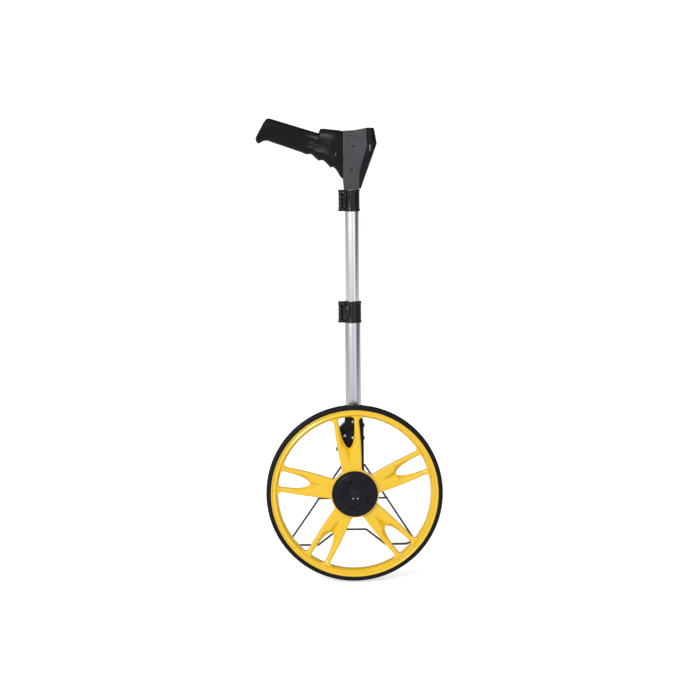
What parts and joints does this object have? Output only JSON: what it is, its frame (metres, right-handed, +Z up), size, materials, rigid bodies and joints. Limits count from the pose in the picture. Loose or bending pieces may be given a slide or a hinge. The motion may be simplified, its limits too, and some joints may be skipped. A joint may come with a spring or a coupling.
{
  "type": "measuring wheel",
  "caption": "Folding measuring wheel: spoked yellow wheel with rubber tyre on a side fork, telescopic pole with flip clamps, wire stand and a pistol grip with display and keys.",
  "frame": {"origin": "middle of the level facet at the bottom of the tyre, where the wheel rests on the floor", "axes": "+Z up from the floor; +X ahead of the user, the way the grip points away from; +Y away from the face of the wheel, the way the pole leans back onto its stand"},
  "size_m": [0.3311, 0.2599, 0.8067],
  "materials": {
    "tyre_rubber": "matte moulded rubber",
    "wheel_yellow": "satin moulded yellow plastic",
    "hub_black": "satin black moulded plastic",
    "body_black": "fine-textured black moulded plastic",
    "grip_black": "soft-touch black over-moulded grip",
    "housing_grey": "satin dark grey moulded plastic",
    "tube_aluminium": "satin anodised drawn tube",
    "bright_steel": "bright zinc-plated steel",
    "stand_wire": "dark plated spring wire",
    "board_green": "green circuit laminate",
    "display_glass": "clear polished window",
    "display_panel": "grey-green liquid crystal panel",
    "battery_skin": "plain printed cell jacket"
  },
  "bodies": {
    "frame": {"fork_front_shell": "body_black", "fork_rear_shell": "body_black", "fork_screw_1": "bright_steel", "fork_screw_2": "bright_steel", "fork_screw_3": "bright_steel", "side_bolt_1": "stand_wire", "side_bolt_2": "stand_wire", "stand_hinge_block": "body_black", "sensor_board": "board_green", "axle_bolt": "stand_wire", "axle_nut": "bright_steel", "axle_spacer": "tube_aluminium", "bearing_spacer": "tube_aluminium", "front_bearing_inner_race": "bright_steel", "rear_bearing_inner_race": "bright_steel", "lower_tube": "tube_aluminium", "lower_clamp_collar": "body_black", "lower_clamp_pin": "bright_steel"},
    "wheel": {"tyre": "tyre_rubber", "wheel_rim": "wheel_yellow", "hub_cover": "hub_black", "hub_screw_1": "bright_steel", "hub_screw_2": "bright_steel", "hub_screw_3": "bright_steel", "hub_screw_4": "bright_steel", "hub_screw_5": "bright_steel", "front_bearing_outer_race": "bright_steel", "rear_bearing_outer_race": "bright_steel", "front_bearing_balls": "bright_steel", "rear_bearing_balls": "bright_steel", "magnet_ring": "stand_wire"},
    "stand": {"stand_wire": "stand_wire", "stand_crossbar": "stand_wire"},
    "lower_lever": {"lower_clamp_lever": "body_black"},
    "middle_stage": {"middle_tube": "tube_aluminium", "middle_tube_bush": "body_black", "upper_clamp_collar": "body_black", "upper_clamp_pin": "bright_steel"},
    "upper_lever": {"upper_clamp_lever": "body_black"},
    "top_stage": {"top_tube": "tube_aluminium", "top_tube_bush": "body_black", "grip_near_shell": "grip_black", "grip_far_shell": "grip_black", "grip_screw_1": "bright_steel", "grip_screw_2": "bright_steel", "grip_screw_3": "bright_steel", "key_plate": "body_black", "head_housing": "housing_grey", "display_bezel": "housing_grey", "display_window": "display_glass", "lcd_panel": "display_panel", "main_board": "board_green", "battery_1": "battery_skin", "battery_2": "battery_skin"},
    "power_key": {"power_key": "housing_grey"},
    "mode_key": {"mode_key": "housing_grey"},
    "reset_key": {"reset_key": "housing_grey"},
    "battery_door": {"battery_door": "body_black", "door_latch": "bright_steel"}
  },
  "joints": [
    {"name": "wheel_spin", "type": "hinge", "parent": "frame", "child": "wheel", "pos_m": [0, 0.02919, 0.15596], "axis": [0, 0.9724, -0.2334], "continuous": true},
    {"name": "stand_fold", "type": "hinge", "parent": "frame", "child": "stand", "pos_m": [0, 0.08905, 0.18683], "axis": [1, 0, 0], "range_deg": [-32.7, 0]},
    {"name": "lower_lever_flip", "type": "hinge", "parent": "frame", "child": "lower_lever", "pos_m": [-0.0216, 0.13606, 0.46402], "axis": [0, 0.2334, 0.9724], "range_deg": [-105, 0]},
    {"name": "lower_stage_slide", "type": "slide", "parent": "frame", "child": "middle_stage", "axis": [0, 0.2334, 0.9724], "range_m": [-0.155, 0]},
    {"name": "upper_lever_flip", "type": "hinge", "parent": "middle_stage", "child": "upper_lever", "pos_m": [-0.0199, 0.18284, 0.65888], "axis": [0, 0.2334, 0.9724], "range_deg": [-105, 0]},
    {"name": "upper_stage_slide", "type": "slide", "parent": "middle_stage", "child": "top_stage", "axis": [0, 0.2334, 0.9724], "range_m": [0, 0.15]},
    {"name": "battery_door_slide", "type": "slide", "parent": "top_stage", "child": "battery_door", "axis": [1, 0, 0], "range_m": [0, 0.015]},
    {"name": "power_key_press", "type": "slide", "parent": "top_stage", "child": "power_key", "axis": [0.1132, 0.2319, 0.9661], "range_m": [-0.001, 0], "stiffness_N_per_m": 400},
    {"name": "mode_key_press", "type": "slide", "parent": "top_stage", "child": "mode_key", "axis": [0.1132, 0.2319, 0.9661], "range_m": [-0.001, 0], "stiffness_N_per_m": 400},
    {"name": "reset_key_press", "type": "slide", "parent": "top_stage", "child": "reset_key", "axis": [0.1132, 0.2319, 0.9661], "range_m": [-0.001, 0], "stiffness_N_per_m": 400}
  ]
}
